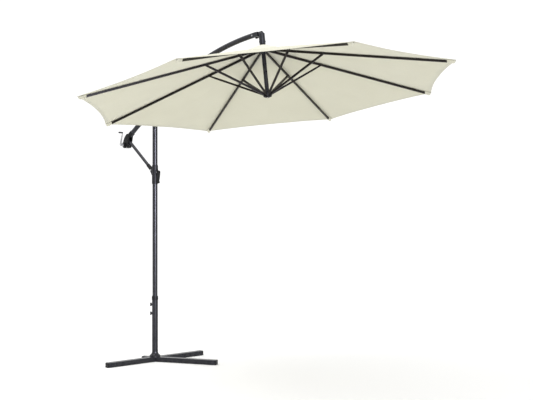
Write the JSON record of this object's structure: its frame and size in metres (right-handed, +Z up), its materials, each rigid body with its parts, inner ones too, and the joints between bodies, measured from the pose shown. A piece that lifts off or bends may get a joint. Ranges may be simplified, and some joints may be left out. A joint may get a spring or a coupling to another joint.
{
  "type": "cantilever parasol",
  "caption": "Cantilever parasol with a ribbed canopy hung from a curved tilting boom, on a turning mast with a slider, strut, crank winch and cross base.",
  "frame": {"origin": "on the floor at the mast's axis, in the underside of the cross base", "axes": "+X from the mast towards the canopy, +Y to the left seen from behind the mast, +Z up"},
  "size_m": [2.9399, 2.4944, 2.5045],
  "materials": {
    "coated_steel": "satin anthracite powder coat",
    "coated_aluminium": "satin anthracite powder coat on a casting",
    "rib_profile": "dark brown powder coat on drawn tube",
    "black_plastic": "moulded, matte black",
    "grey_plastic": "moulded, anthracite",
    "grip_plastic": "moulded, dark grey",
    "zinc_steel": "bright zinc plate",
    "cord": "braided polyester cord",
    "canopy_cloth": "woven polyester, cream"
  },
  "bodies": {
    "base": {"base_bar_long": "coated_steel", "base_bar_short": "coated_steel", "base_end_caps": "black_plastic", "base_post": "coated_steel", "base_bolts": "zinc_steel", "post_collar": "black_plastic"},
    "wing_screw_upper": {"wing_screw_upper": "black_plastic"},
    "wing_screw_lower": {"wing_screw_lower": "black_plastic"},
    "mast": {"mast_foot_plug": "black_plastic", "mast_lower_tube": "coated_steel", "mast_upper_tube": "coated_steel", "mast_head": "coated_steel", "mast_head_bolt": "zinc_steel"},
    "slider": {"slider_sleeve": "grey_plastic", "slider_bush": "black_plastic", "slider_pins": "zinc_steel"},
    "lever": {"release_lever": "black_plastic"},
    "strut": {"strut_tube": "coated_steel", "strut_socket": "black_plastic"},
    "boom": {"boom_tube": "coated_steel", "boom_saddle": "coated_steel", "winch_shell_left": "black_plastic", "winch_shell_right": "black_plastic", "winch_screws": "zinc_steel", "lift_cord": "cord"},
    "crank": {"winch_spool": "zinc_steel", "crank_arm": "zinc_steel"},
    "grip": {"crank_grip": "grip_plastic"},
    "head": {"head_elbow": "coated_aluminium", "head_bolt": "zinc_steel", "stem_tube": "coated_steel", "top_hub": "black_plastic"},
    "pulley": {"cord_pulley": "black_plastic"},
    "cord_mid": {"lift_cord_mid": "cord"},
    "runner": {"runner": "black_plastic", "lift_cord_drop": "cord"},
    "rib_1": {"rib_1": "rib_profile", "canopy_sector_1": "canopy_cloth"},
    "stretcher_1": {"stretcher_1": "rib_profile"},
    "rib_2": {"rib_2": "rib_profile", "canopy_sector_2": "canopy_cloth"},
    "stretcher_2": {"stretcher_2": "rib_profile"},
    "rib_3": {"rib_3": "rib_profile", "canopy_sector_3": "canopy_cloth"},
    "stretcher_3": {"stretcher_3": "rib_profile"},
    "rib_4": {"rib_4": "rib_profile", "canopy_sector_4": "canopy_cloth"},
    "stretcher_4": {"stretcher_4": "rib_profile"},
    "rib_5": {"rib_5": "rib_profile", "canopy_sector_5": "canopy_cloth"},
    "stretcher_5": {"stretcher_5": "rib_profile"},
    "rib_6": {"rib_6": "rib_profile", "canopy_sector_6": "canopy_cloth"},
    "stretcher_6": {"stretcher_6": "rib_profile"},
    "rib_7": {"rib_7": "rib_profile", "canopy_sector_7": "canopy_cloth"},
    "stretcher_7": {"stretcher_7": "rib_profile"},
    "rib_8": {"rib_8": "rib_profile", "canopy_sector_8": "canopy_cloth"},
    "stretcher_8": {"stretcher_8": "rib_profile"}
  },
  "joints": [
    {"name": "mast_swivel", "type": "hinge", "parent": "base", "child": "mast", "pos_m": [0, 0, 0], "axis": [0, 0, 1], "continuous": true},
    {"name": "wing_screw_upper_turn", "type": "hinge", "parent": "base", "child": "wing_screw_upper", "pos_m": [0, 0, 0.458], "axis": [-0.7071, -0.7071, 0], "range_deg": [0, 1080]},
    {"name": "wing_screw_lower_turn", "type": "hinge", "parent": "base", "child": "wing_screw_lower", "pos_m": [0, 0, 0.387], "axis": [-0.7071, -0.7071, 0], "range_deg": [0, 1080]},
    {"name": "boom_tilt", "type": "hinge", "parent": "mast", "child": "boom", "pos_m": [0, 0, 2.01084], "axis": [0, 1, 0], "range_deg": [0, 38]},
    {"name": "slider_slide", "type": "slide", "parent": "mast", "child": "slider", "axis": [0, 0, 1], "range_m": [0, 0.392]},
    {"name": "strut_turn", "type": "hinge", "parent": "slider", "child": "strut", "pos_m": [-0.038, 0, 1.54], "axis": [0, 1, 0], "range_deg": [-21.7, 0]},
    {"name": "head_swing", "type": "hinge", "parent": "boom", "child": "head", "pos_m": [1.1576, 0, 2.47728], "axis": [0, -1, 0], "range_deg": [0, 38]},
    {"name": "lever_pull", "type": "hinge", "parent": "slider", "child": "lever", "pos_m": [0.036, 0, 1.522], "axis": [0, -1, 0], "range_deg": [0, 20], "stiffness_Nm_per_rad": 1.5, "springref_deg": -20.05},
    {"name": "crank_turn", "type": "hinge", "parent": "boom", "child": "crank", "pos_m": [-0.386, 0, 1.758], "axis": [0, 1, 0], "range_deg": [0, 1800]},
    {"name": "grip_turn", "type": "hinge", "parent": "crank", "child": "grip", "pos_m": [-0.35618, 0, 1.85554], "axis": [0, 1, 0], "continuous": true},
    {"name": "pulley_turn", "type": "hinge", "parent": "head", "child": "pulley", "pos_m": [1.21935, 0, 2.47187], "axis": [0, 1, 0], "range_deg": [0, 2525]},
    {"name": "runner_slide", "type": "slide", "parent": "head", "child": "runner", "axis": [0.1357, 0, -0.9907], "range_m": [0, 0.573]},
    {"name": "cord_mid_slide", "type": "slide", "parent": "head", "child": "cord_mid", "axis": [0.1357, 0, -0.9907], "range_m": [0, 0.287]},
    {"name": "canopy_fold", "type": "hinge", "parent": "head", "child": "rib_1", "pos_m": [1.27188, 0.01072, 2.36737], "axis": [-0.3791, 0.9239, -0.0519], "range_deg": [0, 66], "deforming": ["canopy_sector_1"]},
    {"name": "stretcher_1_turn", "type": "hinge", "parent": "rib_1", "child": "stretcher_1", "pos_m": [1.66932, 0.17087, 2.31493], "axis": [0.3791, -0.9239, 0.0519], "range_deg": [0, 120]},
    {"name": "rib_2_turn", "type": "hinge", "parent": "head", "child": "rib_2", "pos_m": [1.25687, 0.02587, 2.36532], "axis": [-0.9153, 0.3827, -0.1254], "range_deg": [0, 66], "deforming": ["canopy_sector_2"]},
    {"name": "stretcher_2_turn", "type": "hinge", "parent": "rib_2", "child": "stretcher_2", "pos_m": [1.42991, 0.41251, 2.28214], "axis": [0.9153, -0.3827, 0.1254], "range_deg": [0, 120]},
    {"name": "rib_3_turn", "type": "hinge", "parent": "head", "child": "rib_3", "pos_m": [1.23564, 0.02587, 2.36241], "axis": [-0.9153, -0.3827, -0.1254], "range_deg": [0, 66], "deforming": ["canopy_sector_3"]},
    {"name": "stretcher_3_turn", "type": "hinge", "parent": "rib_3", "child": "stretcher_3", "pos_m": [1.09134, 0.41251, 2.23576], "axis": [0.9153, 0.3827, 0.1254], "range_deg": [0, 120]},
    {"name": "rib_4_turn", "type": "hinge", "parent": "head", "child": "rib_4", "pos_m": [1.22062, 0.01072, 2.36035], "axis": [-0.3791, -0.9239, -0.0519], "range_deg": [0, 66], "deforming": ["canopy_sector_4"]},
    {"name": "stretcher_4_turn", "type": "hinge", "parent": "rib_4", "child": "stretcher_4", "pos_m": [0.85193, 0.17087, 2.20296], "axis": [0.3791, 0.9239, 0.0519], "range_deg": [0, 120]},
    {"name": "rib_5_turn", "type": "hinge", "parent": "head", "child": "rib_5", "pos_m": [1.22062, -0.01072, 2.36035], "axis": [0.3791, -0.9239, 0.0519], "range_deg": [0, 66], "deforming": ["canopy_sector_5"]},
    {"name": "stretcher_5_turn", "type": "hinge", "parent": "rib_5", "child": "stretcher_5", "pos_m": [0.85193, -0.17087, 2.20296], "axis": [-0.3791, 0.9239, -0.0519], "range_deg": [0, 120]},
    {"name": "rib_6_turn", "type": "hinge", "parent": "head", "child": "rib_6", "pos_m": [1.23564, -0.02587, 2.36241], "axis": [0.9153, -0.3827, 0.1254], "range_deg": [0, 66], "deforming": ["canopy_sector_6"]},
    {"name": "stretcher_6_turn", "type": "hinge", "parent": "rib_6", "child": "stretcher_6", "pos_m": [1.09134, -0.41251, 2.23576], "axis": [-0.9153, 0.3827, -0.1254], "range_deg": [0, 120]},
    {"name": "rib_7_turn", "type": "hinge", "parent": "head", "child": "rib_7", "pos_m": [1.25687, -0.02587, 2.36532], "axis": [0.9153, 0.3827, 0.1254], "range_deg": [0, 66], "deforming": ["canopy_sector_7"]},
    {"name": "stretcher_7_turn", "type": "hinge", "parent": "rib_7", "child": "stretcher_7", "pos_m": [1.42991, -0.41251, 2.28214], "axis": [-0.9153, -0.3827, -0.1254], "range_deg": [0, 120]},
    {"name": "rib_8_turn", "type": "hinge", "parent": "head", "child": "rib_8", "pos_m": [1.27188, -0.01072, 2.36737], "axis": [0.3791, 0.9239, 0.0519], "range_deg": [0, 66], "deforming": ["canopy_sector_8"]},
    {"name": "stretcher_8_turn", "type": "hinge", "parent": "rib_8", "child": "stretcher_8", "pos_m": [1.66932, -0.17087, 2.31493], "axis": [-0.3791, -0.9239, -0.0519], "range_deg": [0, 120]}
  ],
  "couplings": [
    {"joint": "slider_slide", "follows": "boom_tilt", "m_per_rad": 0.5893},
    {"joint": "strut_turn", "follows": "boom_tilt", "ratio": -0.5662},
    {"joint": "head_swing", "follows": "boom_tilt", "ratio": 1},
    {"joint": "stretcher_1_turn", "follows": "canopy_fold", "ratio": 1.8133},
    {"joint": "rib_2_turn", "follows": "canopy_fold", "ratio": 1},
    {"joint": "stretcher_2_turn", "follows": "canopy_fold", "ratio": 1.8133},
    {"joint": "rib_3_turn", "follows": "canopy_fold", "ratio": 1},
    {"joint": "stretcher_3_turn", "follows": "canopy_fold", "ratio": 1.8133},
    {"joint": "rib_4_turn", "follows": "canopy_fold", "ratio": 1},
    {"joint": "stretcher_4_turn", "follows": "canopy_fold", "ratio": 1.8133},
    {"joint": "rib_5_turn", "follows": "canopy_fold", "ratio": 1},
    {"joint": "stretcher_5_turn", "follows": "canopy_fold", "ratio": 1.8133},
    {"joint": "rib_6_turn", "follows": "canopy_fold", "ratio": 1},
    {"joint": "stretcher_6_turn", "follows": "canopy_fold", "ratio": 1.8133},
    {"joint": "rib_7_turn", "follows": "canopy_fold", "ratio": 1},
    {"joint": "stretcher_7_turn", "follows": "canopy_fold", "ratio": 1.8133},
    {"joint": "rib_8_turn", "follows": "canopy_fold", "ratio": 1},
    {"joint": "stretcher_8_turn", "follows": "canopy_fold", "ratio": 1.8133},
    {"joint": "runner_slide", "follows": "canopy_fold", "m_per_rad": 0.49698},
    {"joint": "cord_mid_slide", "follows": "canopy_fold", "m_per_rad": 0.24849},
    {"joint": "crank_turn", "follows": "canopy_fold", "ratio": 27.273},
    {"joint": "pulley_turn", "follows": "canopy_fold", "ratio": 38.229}
  ]
}
